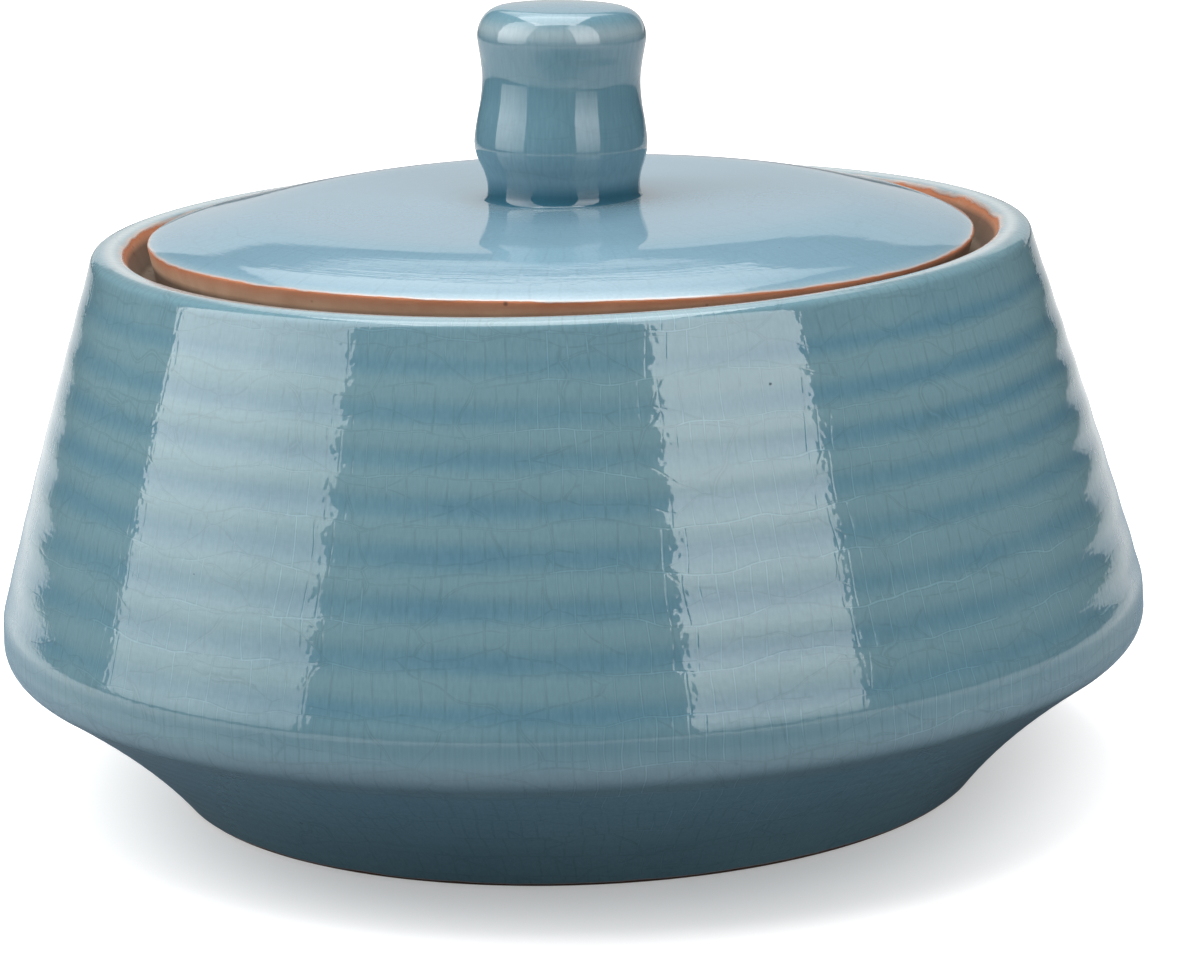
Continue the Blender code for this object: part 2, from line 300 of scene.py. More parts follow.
def domeHeight(r):
    # Nearly level inside and a slope outside: slope * width * ln(1 + exp((r - shoulder) / width)) is the
    # drop. From rollStart to the edge the slope grows as a parabola, and a slight dome, a parabola too, is
    # added.
    width = lid["shoulderWidth"]
    drop = width * np.log1p(np.exp((r - lid["shoulder"]) / width))
    full = width * math.log1p(math.exp((lid["radius"] - lid["shoulder"]) / width))
    dome = lid["domeRise"] * (1 - (r / lid["radius"]) ** 2)
    rolled = np.clip((r - lid["rollStart"]) / (lid["radius"] - lid["rollStart"]), 0, 1)
    roll = lid["rollSlope"] * (lid["radius"] - lid["rollStart"]) / 3 * (1 - rolled**3)
    return lid["edgeHeight"] + lid["shoulderSlope"] * (full - drop) + roll + dome


def makeLid():
    hollow = np.linspace(0, lid["seatInner"] - 1.2, 14)
    hollowHeight = lid["seatHeight"] + lid["hollowRise"] * (1 - (hollow / lid["seatInner"]) ** 4)
    top = np.linspace(lid["radius"] - 0.6, 0, 130)
    flat = np.zeros_like
    outline = np.vstack((
        np.stack((hollow, hollowHeight, flat(hollow), flat(hollow) + 4), 1),
        ((lid["seatInner"], lid["seatHeight"], 0.6, 0.8),
         (lid["footRadius"], lid["seatHeight"], 0.5, 0.4),
         (lid["radius"], lid["edgeHeight"], 0.22, 0.2)),
        np.stack((top, domeHeight(top), flat(top), flat(top) + 0.8), 1)))
    r, z, at = rowsAlong(roundedPath(outline))
    angle = np.arange(lid["columns"]) / lid["columns"] * 2 * np.pi
    x, y = r[:, None] * np.cos(angle), r[:, None] * np.sin(angle)
    # Above the seat the edge rises and falls round the lid, fading inwards as the fourth power of r
    share = np.clip((z - lid["seatHeight"]) / (lid["edgeHeight"] - lid["seatHeight"]), 0, 1)
    share = (share * (r / lid["radius"]) ** 4)[:, None]
    turns = np.stack((np.cos(angle), np.sin(angle), np.cos(2 * angle), np.sin(2 * angle)))
    rise = np.array(lid["edgeRise"]) @ turns + lid["edgeWave"] * handWave(angle, 12, 9)
    height = z[:, None] + rise * share
    edges = [arcOf(r, z, at, place) for place in lid["glazeEdges"]]
    zero = np.zeros(len(r))
    # On the lid round the knob's foot the colour greys: partly thin glaze, partly painted contact shade
    # from the knob
    ringRadius, ringWidth, ringShare = lid["thinAndShadedRing"]
    thin = ringShare * hump(r, ringRadius, ringWidth) * (z > lid["edgeHeight"])
    lipPlace, lipWidth, lipShare = lid["paleLip"]
    lip = lipShare * hump(at, arcOf(r, z, at, lipPlace), lipWidth)
    return turnedPiece(
        "domedLid", x, y, height, (lid["crackleColumns"], at / lid["crackleRow"]),
        {"ringRelief": zero - 0.9, "glazeEdge": borderDistance(at, edges, lid["edgeSoftness"]),
         "milkyGlaze": zero + 1, "thinGlazeAndContactShade": thin, "lipGlaze": lip,
         "crackleShare": zero + lid["crackle"]})


# The knob: a bulge, a waist and a cap, leaning a little to the right on its pool of glaze
knob = {
    "side": [  # r and z from the pool at its foot up to the middle of its cap
        (11.0, 75.65), (10.7, 75.85), (10.4, 76.02), (10.15, 76.25), (9.98, 76.55), (9.9, 77.0),
        (9.88, 77.6), (9.98, 78.5), (10.35, 79.8), (10.85, 81.1), (11.18, 82.6), (11.14, 84.0),
        (10.85, 86.0), (10.45, 88.2), (10.24, 90.2), (10.22, 91.8), (10.42, 93.7), (10.7, 95.4),
        (10.88, 96.7), (10.8, 97.5), (10.65, 98.1), (10.45, 98.6), (10.2, 99.05), (9.85, 99.5),
        (9.4, 99.9), (8.9, 100.2), (8.4, 100.4), (8.0, 100.52), (7.0, 100.64), (5.5, 100.79),
        (4.0, 100.9), (2.5, 100.98), (1.2, 101.02), (0, 101.03)],
    "sole": (10.9, 75.1),  # r and z of the edge of its flat sole, inside the lid
    "columns": 160,
    "place": (0.13, 0.0),
    "base": 77.0,
    "lean": 2.4,
    "leanStart": (75.5, 4.0),  # the lean grows from this height, over so many mm
    "neckShift": 0.45,
    "neckReach": 3.0,
    "outOfRound": 0.006,
    "paleLip": ((10.6, 98.1), 1.2, 0.5),  # place, width and share
    "pool": ((9.7, 77.0), 1.7, 1.6),
    "milkyTop": (100, 0.8, 0.6),
    "milkyWaist": (79, 4.5, 0.4),
    "crackleColumns": 28,
    "crackleRow": 2.4,
    "crackle": 0.22,
}


def makeKnob():
    side = smoothPath(knob["side"])
    rest = np.zeros(len(side))
    soleR, soleZ = knob["sole"]
    outline = np.vstack((((0, soleZ, 0, 3.0), (soleR, soleZ, 0, 0.5)),
                         np.stack((side[:, 0], side[:, 1], rest, rest + 0.33), 1)))
    r, z, at = rowsAlong(roundedPath(outline))
    angle = np.arange(knob["columns"]) / knob["columns"] * 2 * np.pi
    radius = r[:, None] * (1 + knob["outOfRound"] * handWave(angle, 21)[None, :])
    x, y = radius * np.cos(angle), radius * np.sin(angle)
    # The knob turns about the y axis through its base, less and less towards its foot, and its neck
    # stands a little to the right
    leanLow, leanOver = knob["leanStart"]
    lean = math.radians(knob["lean"]) * np.clip((z - leanLow) / leanOver, 0, 1)[:, None]
    rise = z[:, None] - knob["base"]
    neck = knob["neckShift"] * hump(z, knob["base"], knob["neckReach"])[:, None]
    leaningX = knob["place"][0] + neck + x * np.cos(lean) + rise * np.sin(lean)
    leaningZ = knob["base"] - x * np.sin(lean) + rise * np.cos(lean)
    lipPlace, lipWidth, lipShare = knob["paleLip"]
    lip = lipShare * hump(at, arcOf(r, z, at, lipPlace), lipWidth)
    topLow, topOver, topShare = knob["milkyTop"]
    waistHeight, waistWidth, waistShare = knob["milkyWaist"]
    milky = topShare * np.clip((z - topLow) / topOver, 0, 1) + waistShare * hump(z, waistHeight, waistWidth)
    poolPlace, poolWidth, poolDepth = knob["pool"]
    relief = -0.95 - poolDepth * hump(at, arcOf(r, z, at, poolPlace), poolWidth)
    return turnedPiece(
        "waistedKnob", leaningX, y + knob["place"][1], leaningZ,
        (knob["crackleColumns"], at / knob["crackleRow"]),
        {"ringRelief": relief, "glazeEdge": at * 0 + 20, "thinGlazeAndContactShade": at * 0, "lipGlaze": lip,
         "milkyGlaze": milky, "crackleShare": at * 0 + knob["crackle"]})


pieces = {"jar_body": (makeJar(), "jar"), "lid_plate": (makeLid(), "lid"), "lid_knob": (makeKnob(), "lid")}
print("pieces made")


# Crackle glaze over brown stoneware, dipped and fired: the glaze gives a wet gloss, pools bluer in the
# grooves and thins to grey on sharp edges; the bare clay is matt, brown and specked with iron.
glaze = {
    "pool": "#2F5A6C",
    "groove": "#517788",
    "ridge": "#6A8890",
    "lip": "#A4AFB2",
    "milky": "#6F8E9D",  # on the level lid the glaze lies thick
    "thin": "#7C7872",
    "seam": "#C2A596",  # where the glaze thins out over the clay
    # Painted highlight along the middle of each crack and painted shade along its sides, as on lit relief
    "crackPaintedHighlight": 0.2,
    "crackShade": -0.13,
    "roughness": 0.035,
    "ior": 1.55,
    "crackDepth": 0.006,  # mm
    "throwLineDepth": 0.008,
    "rippleDepth": 0.015,
    "thickness": 0.08,
    "thinShare": 0.2,
    # How far the clouds and the streaks shift the colour between groove and ridge
    "cloudShift": 1.3,
    "streakShift": 0.45,
    "bodyTone": 0.92,  # the colour's own share, to which the streaks add
    "streakTone": 0.16,
    # How many of each lie in a metre, for lenses and streaks along x, y and z
    "lensesPerMetre": (70.0, 70.0, 185.0),
    "streaksPerMetre": (2600.0, 2600.0, 170.0),
    "cloudsPerMetre": 55.0,
    "patchesPerMetre": 22.0,
    "ripplesPerMetre": 1300.0,
    "pinholesPerMetre": 85.0,
    "bendsPerMetre": 70.0,
    "fadesPerMetre": 130.0,
    "raggedPerMetre": 160.0,
    "raggedReach": 0.8,  # mm from the lowest to the highest point of its noise
    "pinhole": "#22282A",
    "pinholeDepth": 0.05,
    "brick": (1.1, 2.35, 0.1),  # width, height and crack width on the crackle map
    "brickBend": (1.2, 2.2, 0),
    "lensBend": (0.9, 0.9, 1.1),
    "throwLines": (30.0, 4.4),  # per metre of x and y, and per unit of the map's height
}
clay = {
    "pale": "#C8AE94",
    "deep": "#9A8068",
    "flash": "#A4582B",
    "flashPower": 2.3,
    "speck": "#3B2B20",
    "gapShade": 0.33,
    "roughness": 0.85,
    "grainDepth": 0.05,
    "cloudsPerMetre": 260.0,
    "specksPerMetre": 520.0,
    "grainPerMetre": 1500.0,
    # Painted shade of the narrow gap between lid and rim: from gapTop down to gapDark the clay darkens to
    # gapShade of its colour
    "gapTop": 70.7,
    "gapDark": 69.9,
}


def makeGlazedStoneware():
    material = bpy.data.materials.new("blueCrackleGlazeOnStoneware")
    material.use_nodes = True
    tree = material.node_tree
    tree.nodes.clear()
    place = addNode(tree, "TexCoord").outputs["Object"]
    uv = addNode(tree, "UVMap", uv_map="crackleMap")
    relief, edge, thin, lip, milky, share = (
        addNode(tree, "Attribute", attribute_name=name).outputs["Fac"]
        for name in ("ringRelief", "glazeEdge", "thinGlazeAndContactShade", "lipGlaze", "milkyGlaze", "crackleShare"))

    # Where glaze ends: the distance to its edge, shifted by a ragged 0.35 mm
    ragged = addNode(tree, "TexNoise", {"Vector": place, "Scale": glaze["raggedPerMetre"], "Detail": 4.0,
                                        "Roughness": 0.6})
    shifted = addNode(tree, "Math", {0: ragged, 1: glaze["raggedReach"], 2: edge},
                      operation="MULTIPLY_ADD")
    cover = addNode(tree, "MapRange", {"Value": shifted, "From Min": 0.36, "From Max": 0.5})
    bare = addNode(tree, "Math", {0: 1.0, 1: cover}, operation="SUBTRACT")

    # Crackle: cells of 14 by 5 mm with curved sides, cut across by a net of bricks that gives long level
    # cracks 5.6 mm apart and short upright ones 2.7 mm apart
    bend = addNode(tree, "TexNoise", {"Vector": place, "Scale": glaze["bendsPerMetre"], "Detail": 2.0})
    bent = addNode(tree, "VectorMath", {0: bend.outputs["Color"], 1: (0.5, 0.5, 0.5)}, operation="SUBTRACT")
    flattened = addNode(tree, "VectorMath", {0: place, 1: glaze["lensesPerMetre"]}, operation="MULTIPLY")
    curved = addNode(tree, "VectorMath", {0: bent, 1: glaze["lensBend"], 2: flattened},
                     operation="MULTIPLY_ADD")
    lenses = addNode(tree, "TexVoronoi", {"Vector": curved, "Scale": 1.0}, feature="DISTANCE_TO_EDGE")
    lensCrack = addNode(tree, "MapRange", {"Value": lenses, "From Min": 0.022, "From Max": 0.0})
    warped = addNode(tree, "VectorMath", {0: bent, 1: glaze["brickBend"], 2: uv},
                     operation="MULTIPLY_ADD")
    brickWidth, brickHeight, brickCrackWidth = glaze["brick"]
    cells = addNode(tree, "TexBrick", {
        "Vector": warped, "Scale": 1.0, "Mortar Size": brickCrackWidth, "Mortar Smooth": 1.0,
        "Brick Width": brickWidth, "Row Height": brickHeight},
        offset=0.5, offset_frequency=2, squash=0.7, squash_frequency=3)
    # Cracks fade in and out along their length
    fade = addNode(tree, "TexNoise", {"Vector": place, "Scale": glaze["fadesPerMetre"], "Detail": 2.0})
    fading = addNode(tree, "MapRange", {"Value": fade, "From Min": 0.34, "From Max": 0.54})
    brickCrack = addNode(tree, "Math", {0: cells.outputs["Fac"], 1: fading}, operation="MULTIPLY")
    patches = addNode(tree, "TexNoise", {"Vector": place, "Scale": glaze["patchesPerMetre"], "Detail": 1.0})
    patch = addNode(tree, "MapRange", {"Value": patches, "From Min": 0.42, "From Max": 0.58, "To Min": 0.6})
    brickCrack = addNode(tree, "Math", {0: brickCrack, 1: patch}, operation="MULTIPLY")
    otherFade = addNode(tree, "MapRange", {"Value": fade, "From Min": 0.66, "From Max": 0.5, "To Max": 0.7})
    lensCrack = addNode(tree, "Math", {0: lensCrack, 1: otherFade}, operation="MULTIPLY")
    crack = addNode(tree, "Math", {0: brickCrack, 1: lensCrack}, operation="MAXIMUM")
    crack = addNode(tree, "Math", {0: crack, 1: share}, operation="MULTIPLY")

    # Fine upright streaks 0.4 mm apart, where the glaze ran
    runs = addNode(tree, "VectorMath", {0: place, 1: glaze["streaksPerMetre"]}, operation="MULTIPLY")
    streaks = addNode(tree, "TexNoise", {"Vector": runs, "Scale": 1.0, "Detail": 1.0})

    # Colour of the glaze: groove to ridge, lightened at lips, greyed where it is thin and as painted
    # contact shade round the knob, in soft clouds
    clouds = addNode(tree, "TexNoise", {"Vector": place, "Scale": glaze["cloudsPerMetre"], "Detail": 3.0})
    uneven = addNode(tree, "MapRange", {"Value": patches, "From Min": 0.35, "From Max": 0.65, "To Min": 1.0,
                                        "To Max": 0.5})
    banded = addNode(tree, "Math", {0: relief, 1: uneven}, operation="MULTIPLY")
    clouded = addNode(tree, "Math", {0: clouds, 1: glaze["cloudShift"], 2: banded},
                      operation="MULTIPLY_ADD")
    clouded = addNode(tree, "Math", {0: streaks, 1: glaze["streakShift"], 2: clouded},
                      operation="MULTIPLY_ADD")
    level = addNode(tree, "MapRange", {"Value": clouded, "From Min": -0.45, "From Max": 1.35})
    body = addNode(tree, "Mix", {0: level, 6: linear(glaze["groove"]), 7: linear(glaze["ridge"])},
                   data_type="RGBA")
    body = addNode(tree, "Mix", {0: milky, 6: body, 7: linear(glaze["milky"])}, data_type="RGBA")
    pool = addNode(tree, "MapRange", {"Value": relief, "From Min": -1.1, "From Max": -2.4})
    body = addNode(tree, "Mix", {0: pool, 6: body, 7: linear(glaze["pool"])}, data_type="RGBA")
    body = addNode(tree, "Mix", {0: lip, 6: body, 7: linear(glaze["lip"])}, data_type="RGBA")
    # Greyer where the glaze is thin, and on the lid round the knob also as painted contact shade
    thinShare = addNode(tree, "Math", {0: thin, 1: glaze["thinShare"]}, operation="MULTIPLY")
    body = addNode(tree, "Mix", {0: thinShare, 6: body, 7: linear(glaze["thin"])}, data_type="RGBA")
    # The cracks carry a painted highlight along their middle and painted shade along their sides, as light
    # falls on an embossed line
    shade = addNode(tree, "MapRange", {"Value": crack, "From Min": 0.0, "From Max": 0.45, "To Min": 0.0,
                                       "To Max": glaze["crackShade"]})
    shade = addNode(tree, "MapRange", {"Value": crack, "From Min": 0.45, "From Max": 0.95,
                                       "To Min": shade, "To Max": glaze["crackPaintedHighlight"]})
    shade = addNode(tree, "Math", {0: streaks, 1: glaze["streakTone"], 2: shade},
                    operation="MULTIPLY_ADD")
    shade = addNode(tree, "Math", {0: shade, 1: glaze["bodyTone"]}, operation="ADD")
    body = addNode(tree, "VectorMath", {0: body, 3: shade}, operation="SCALE")
    seam = addNode(tree, "MapRange", {"Value": shifted, "From Min": 0.8, "From Max": 0.45,
                                      "To Max": 0.8})
    body = addNode(tree, "Mix", {0: seam, 6: body, 7: linear(glaze["seam"])}, data_type="RGBA")
    # Pinholes, where a bubble burst: spots of 0.3 mm at scattered points of a 12 mm grid
    holes = addNode(tree, "TexVoronoi", {"Vector": place, "Scale": glaze["pinholesPerMetre"]}, feature="F1")
    pinhole = addNode(tree, "MapRange", {"Value": holes, "From Min": 0.009, "From Max": 0.02,
                                         "To Min": 1.0, "To Max": 0.0})
    body = addNode(tree, "Mix", {0: pinhole, 6: body, 7: linear(glaze["pinhole"])}, data_type="RGBA")

    # Colour of the clay: cloudy brown with iron specks, flashed orange beside the glaze
    clayClouds = addNode(tree, "TexNoise", {"Vector": place, "Scale": clay["cloudsPerMetre"],
                                            "Detail": 4.0})
    clayBody = addNode(tree, "Mix", {0: clayClouds, 6: linear(clay["deep"]), 7: linear(clay["pale"])},
                       data_type="RGBA")
    nearGlaze = addNode(tree, "MapRange", {"Value": shifted, "From Min": -1.8, "From Max": 0.5})
    flash = addNode(tree, "Math", {0: nearGlaze, 1: clay["flashPower"]}, operation="POWER")
    clayBody = addNode(tree, "Mix", {0: flash, 6: clayBody, 7: linear(clay["flash"])},
                       data_type="RGBA")
    # Painted shade: the clay darkens below gapTop, to gapShade of its colour at gapDark, standing in for
    # the shade down in the narrow gap between lid and rim. All bare clay lower down, the foot and the lid's
    # seat too, gets the same painted shade.
    split = addNode(tree, "SeparateXYZ", {0: place})
    gap = addNode(tree, "MapRange", {"Value": split.outputs[2], "From Min": clay["gapTop"] * mm,
                                     "From Max": clay["gapDark"] * mm, "To Min": 1.0,
                                     "To Max": clay["gapShade"]})
    clayBody = addNode(tree, "VectorMath", {0: clayBody, 3: gap}, operation="SCALE")
    specks = addNode(tree, "TexVoronoi", {"Vector": place, "Scale": clay["specksPerMetre"]}, feature="F1")
    speck = addNode(tree, "MapRange", {"Value": specks, "From Min": 0.08, "From Max": 0.2,
                                       "To Min": 0.8, "To Max": 0.0})
    chance = addNode(tree, "SeparateColor", {0: specks.outputs["Color"]})
    chosen = addNode(tree, "MapRange", {"Value": chance, "From Min": 0.6, "From Max": 0.7})
    speck = addNode(tree, "Math", {0: speck, 1: chosen}, operation="MULTIPLY")
    clayBody = addNode(tree, "Mix", {0: speck, 6: clayBody, 7: linear(clay["speck"])}, data_type="RGBA")
    colour = addNode(tree, "Mix", {0: cover, 6: clayBody, 7: body}, data_type="RGBA")

    # Heights in metres: crackle grooves, throwing lines, ripples 0.8 mm apart, pinholes, grain on the
    # clay, and the glaze's own thickness
    splitMap = addNode(tree, "SeparateXYZ", {0: uv})
    linesAcross, linesUp = glaze["throwLines"]
    lineX = addNode(tree, "Math", {0: split.outputs[0], 1: linesAcross}, operation="MULTIPLY")
    lineY = addNode(tree, "Math", {0: split.outputs[1], 1: linesAcross}, operation="MULTIPLY")
    lineV = addNode(tree, "Math", {0: splitMap.outputs[1], 1: linesUp}, operation="MULTIPLY")
    lineSpace = addNode(tree, "CombineXYZ", {0: lineX, 1: lineY, 2: lineV})
    lines = addNode(tree, "TexNoise", {"Vector": lineSpace, "Scale": 1.0, "Detail": 2.0})
    ripples = addNode(tree, "TexNoise", {"Vector": place, "Scale": glaze["ripplesPerMetre"], "Detail": 0.0})
    grain = addNode(tree, "TexNoise", {"Vector": place, "Scale": clay["grainPerMetre"], "Detail": 3.0})
    height = addNode(tree, "Math", {0: crack, 1: -glaze["crackDepth"] * mm}, operation="MULTIPLY")
    height = addNode(tree, "Math", {0: lines, 1: glaze["throwLineDepth"] * mm, 2: height},
                     operation="MULTIPLY_ADD")
    ripples = addNode(tree, "Math", {0: ripples, 1: share}, operation="MULTIPLY")
    height = addNode(tree, "Math", {0: ripples, 1: glaze["rippleDepth"] * mm, 2: height},
                     operation="MULTIPLY_ADD")
    height = addNode(tree, "Math", {0: pinhole, 1: -glaze["pinholeDepth"] * mm, 2: height},
                     operation="MULTIPLY_ADD")
    clayHeight = addNode(tree, "Math", {0: grain, 1: clay["grainDepth"] * mm}, operation="MULTIPLY")
    height = addNode(tree, "Mix", {0: cover, 2: clayHeight, 3: height}, data_type="FLOAT")
    height = addNode(tree, "Math", {0: cover, 1: glaze["thickness"] * mm, 2: height},
                     operation="MULTIPLY_ADD")
    normal = addNode(tree, "Bump", {"Strength": 1.0, "Distance": 1.0, "Height": height})

    roughness = addNode(tree, "Mix", {0: bare, 2: glaze["roughness"], 3: clay["roughness"]},
                        data_type="FLOAT")
    surface = addNode(tree, "BsdfPrincipled", {
        "Base Color": colour, "Roughness": roughness, "IOR": glaze["ior"], "Normal": normal})
    addNode(tree, "OutputMaterial", {"Surface": surface})
    return material


glazedStoneware = makeGlazedStoneware()
for node, (piece, body) in pieces.items():
    piece.data.materials.append(glazedStoneware)
    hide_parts(node)
    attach(piece, body)
print("glaze and clay made")


# The studio: a white floor, two softboxes, a light overhead and a white backdrop in the world
studio = {
    "floorSize": 3000,
    "floorColour": "#E0E0E0",
    "bounceColour": "#7C8B96",  # what the jar gets back from the floor near it, as from a blue-grey table
    "floorLift": 0.24,  # glow of the near floor towards the camera, which brings it to white
    "nearFloor": 62,  # from here the glow grows
    "farFloor": 200,  # and from here it is full
    "floorSideways": 2.0,  # the glow grows this much faster to the sides
    "bounceNear": 220,  # the bounce colour ends here
    "bounceFar": 400,
    "paperReach": 480,  # half the width of the white paper on the floor
    "besidePaper": "#5A5A5A",
    # Two ends of each panel's lower edge, its height over the floor, its height and lean towards the
    # jar, its radiance, and the shares of it at the foot and at the front end
    "leftSoftbox": ((-590, 68), (-468, -375), 25, 930, 15, 3.3, (0.35, 0.68)),
    "rightSoftbox": ((222, -557), (480, -359), 25, 930, 15, 3.15, (0.2, 1.0)),
    # Two ends of each panel's near edge, its depth from there away from the camera, its height, its
    # radiance, and for the first the share of it at the far end
    "skyPanel": ((-450, 430), (450, 430), 1400, 800, 4.0, (0.34,)),
    "ceilingPanel": ((-335, -280), (235, -280), 710, 800, 4.1, ()),
    "softboxFull": 0.22,  # a softbox has its full glow from this share of its height
    "softboxTop": (0.35, 0.55),  # above this share it weakens, to so much at its top
    "softboxCorners": (0.72, 0.15),  # from this share up it narrows, to so much of its width each way
    "softboxFront": (0.5, 0.85),  # and along it weakens between these shares
    "skyEnd": (0.454, -0.492, 1.124),
    "skyLeft": (-0.347, -0.098),
    "skyRight": (0.239, 0.41),
    "skyNear": (0.78, 0.2),  # its glow at the near edge, and how far the fade to the far glow runs
    "skyAside": (2.0, 0.06),
    "seamBow": (1.14, 0.068, 0.105),
    "seamHalf": 0.01,
    "dark": 0.05,  # glow of the room outside the backdrop
    "backdropLow": 0.66,
    "backdropHigh": 0.58,
    "backdropHalf": (0.755, 0.765),  # cosine of its half width, sharp to a degree
    "backdropArch": (0.43, 0.44, -0.322, 2.3),  # height of its edge, how it leans and how it bows
}


def addPanel(name, middle, across, up, radiance, cut, shares):
    # A rectangular lamp spanned by two vectors, shining towards the jar. Its watts are
    # 4 * area * radiance. cut makes the lamp's strength from its two parametric coordinates.
    lamp = bpy.data.lights.new(name, "AREA")
    lamp.shape = "RECTANGLE"
    lamp.size = across.length
    lamp.size_y = up.length
    lamp.energy = 4 * across.length * up.length * radiance
    lamp.use_nodes = True
    tree = lamp.node_tree
    tree.nodes.clear()
    share = addNode(tree, "SeparateXYZ", {0: addNode(tree, "NewGeometry").outputs["Parametric"]})
    glow = addNode(tree, "Emission", {"Strength": cut(tree, share.outputs[0], share.outputs[1], *shares)})
    addNode(tree, "OutputLight", {"Surface": glow})
    back = across.cross(up).normalized()
    if back.dot(middle) < 0:
        across, back = -across, -back
    turn = Matrix((across.normalized(), up.normalized(), back)).transposed().to_4x4()
    panel = bpy.data.objects.new(name, lamp)
    panel.matrix_world = Matrix.Translation(middle) @ turn
    panel.visible_camera = False
    bpy.context.scene.collection.objects.link(panel)


def softFoot(tree, along, up, foot, front):
    # Dim at its lower edge, full from a fifth of its height, half as bright at the top, weaker towards
    # its front end, and with its upper corners cut off
    topStart, topShare = studio["softboxTop"]
    rising = addNode(tree, "MapRange", {"Value": up, "From Min": 0.0, "From Max": studio["softboxFull"],
                                        "To Min": foot, "To Max": 1.0})
    glow = addNode(tree, "MapRange", {"Value": up, "From Min": topStart, "From Max": 1.0, "To Min": rising,
                                      "To Max": topShare})
    side = addNode(tree, "Math", {0: along, 1: 0.5}, operation="SUBTRACT")
    side = addNode(tree, "Math", {0: side}, operation="ABSOLUTE")
    cornerStart, topReach = studio["softboxCorners"]
    reach = addNode(tree, "MapRange", {"Value": up, "From Min": cornerStart, "From Max": 1.0, "To Min": 0.5,
                                       "To Max": topReach})
    whole = addNode(tree, "Math", {0: reach, 1: side}, operation="GREATER_THAN")
    frontStart, frontEnd = studio["softboxFront"]
    fading = addNode(tree, "MapRange", {"Value": along, "From Min": frontStart, "From Max": frontEnd,
                                        "To Min": 1.0, "To Max": front})
    glow = addNode(tree, "Math", {0: glow, 1: fading}, operation="MULTIPLY")
    return addNode(tree, "Math", {0: glow, 1: whole}, operation="MULTIPLY")


def archedSky(tree, along, up, far):
    # With s the place across the panel from -0.5 to 0.5 and t the place along it, the light ends at
    # t = a + b s + c s^2 with skyEnd, and at s = a + b t with skyLeft and skyRight. A thin dark seam runs
    # c - (a s + b)^2 before its far end with seamBow, and beyond the seam it is half as bright.
    s = addNode(tree, "Math", {0: along, 1: 0.5}, operation="SUBTRACT")
    end, endSlope, endBow = studio["skyEnd"]
    arch = addNode(tree, "Math", {0: s, 1: endBow, 2: endSlope}, operation="MULTIPLY_ADD")
    arch = addNode(tree, "Math", {0: arch, 1: s, 2: end}, operation="MULTIPLY_ADD")
    short = addNode(tree, "Math", {0: arch, 1: up}, operation="SUBTRACT")
    inside = addNode(tree, "Math", {0: short, 1: 0.0}, operation="GREATER_THAN")
    seamScale, seamShift, seamBefore = studio["seamBow"]
    middle = addNode(tree, "Math", {0: s, 1: seamScale, 2: seamShift}, operation="MULTIPLY_ADD")
    bow = addNode(tree, "Math", {0: middle, 1: middle, 2: -seamBefore}, operation="MULTIPLY_ADD")
    fromSeam = addNode(tree, "Math", {0: short, 1: bow}, operation="ADD")
    seamHalf = studio["seamHalf"]
    beyond = addNode(tree, "MapRange", {"Value": fromSeam, "From Min": -seamHalf, "From Max": seamHalf,
                                        "To Min": 0.5})
    offSeam = addNode(tree, "Math", {0: fromSeam}, operation="ABSOLUTE")
    offSeam = addNode(tree, "Math", {0: offSeam, 1: seamHalf}, operation="GREATER_THAN")
    edge, lean = studio["skyLeft"]
    left = addNode(tree, "Math", {0: up, 1: lean, 2: edge}, operation="MULTIPLY_ADD")
    left = addNode(tree, "Math", {0: s, 1: left}, operation="GREATER_THAN")
    edge, lean = studio["skyRight"]
    right = addNode(tree, "Math", {0: up, 1: lean, 2: edge}, operation="MULTIPLY_ADD")
    right = addNode(tree, "Math", {0: s, 1: right}, operation="LESS_THAN")
    near, fade = studio["skyNear"]
    glow = addNode(tree, "MapRange", {"Value": up, "From Min": 0.0, "From Max": fade, "To Min": near,
                                      "To Max": far})
    # It is weaker towards both sides, as 1 - (a s + b)^2 with skyAside
    asideScale, asideShift = studio["skyAside"]
    aside = addNode(tree, "Math", {0: s, 1: asideScale, 2: asideShift}, operation="MULTIPLY_ADD")
    aside = addNode(tree, "Math", {0: aside, 1: aside}, operation="MULTIPLY")
    aside = addNode(tree, "Math", {0: 1.0, 1: aside}, operation="SUBTRACT")
    for share in (inside, beyond, offSeam, left, right, aside):
        glow = addNode(tree, "Math", {0: glow, 1: share}, operation="MULTIPLY")
    return glow


def evenGlow(tree, along, up):
    # The same all over
    return 1.0


